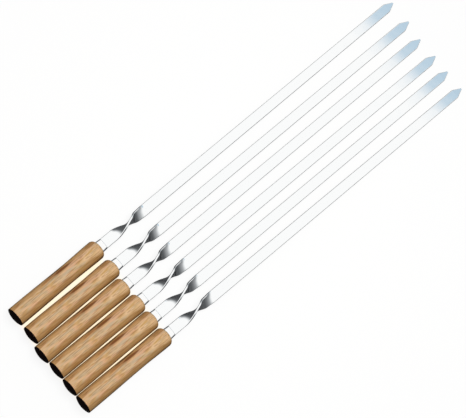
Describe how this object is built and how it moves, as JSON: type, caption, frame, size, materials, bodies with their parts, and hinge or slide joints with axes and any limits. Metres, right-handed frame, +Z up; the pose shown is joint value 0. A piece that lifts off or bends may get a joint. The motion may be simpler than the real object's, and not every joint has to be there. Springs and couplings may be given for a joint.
{
  "type": "kebab skewer set",
  "caption": "Flat twisted steel kebab skewers with turned wooden handles and domed caps, lying side by side.",
  "frame": {"origin": "centre of the set's bounding box, on the ground that the skewers lie on", "axes": "+X along the row's middle from the handles towards the points, +Y across the row, +Z up"},
  "size_m": [0.6246, 0.1494, 0.0228],
  "materials": {
    "polished_stainless": "polished strip",
    "polished_collar": "polished",
    "varnished_wood": "turned and varnished",
    "plated_washer": "zinc plated",
    "black_cap": "moulded, glossy"
  },
  "bodies": {
    "skewer_3": {"blade_3": "polished_stainless", "ferrule_3": "polished_collar", "handle_3": "varnished_wood", "rove_3": "plated_washer", "end_cap_3": "black_cap"},
    "skewer_1": {"blade_1": "polished_stainless", "ferrule_1": "polished_collar", "handle_1": "varnished_wood", "rove_1": "plated_washer", "end_cap_1": "black_cap"},
    "skewer_2": {"blade_2": "polished_stainless", "ferrule_2": "polished_collar", "handle_2": "varnished_wood", "rove_2": "plated_washer", "end_cap_2": "black_cap"},
    "skewer_4": {"blade_4": "polished_stainless", "ferrule_4": "polished_collar", "handle_4": "varnished_wood", "rove_4": "plated_washer", "end_cap_4": "black_cap"},
    "skewer_5": {"blade_5": "polished_stainless", "ferrule_5": "polished_collar", "handle_5": "varnished_wood", "rove_5": "plated_washer", "end_cap_5": "black_cap"},
    "skewer_6": {"blade_6": "polished_stainless", "ferrule_6": "polished_collar", "handle_6": "varnished_wood", "rove_6": "plated_washer", "end_cap_6": "black_cap"}
  },
  "joints": [
    {"name": "lift_1", "type": "slide", "parent": "skewer_3", "child": "skewer_1", "axis": [0, 0, 1], "range_m": [0, 0.1]},
    {"name": "lift_2", "type": "slide", "parent": "skewer_3", "child": "skewer_2", "axis": [0, 0, 1], "range_m": [0, 0.1]},
    {"name": "lift_4", "type": "slide", "parent": "skewer_3", "child": "skewer_4", "axis": [0, 0, 1], "range_m": [0, 0.1]},
    {"name": "lift_5", "type": "slide", "parent": "skewer_3", "child": "skewer_5", "axis": [0, 0, 1], "range_m": [0, 0.1]},
    {"name": "lift_6", "type": "slide", "parent": "skewer_3", "child": "skewer_6", "axis": [0, 0, 1], "range_m": [0, 0.1]}
  ]
}
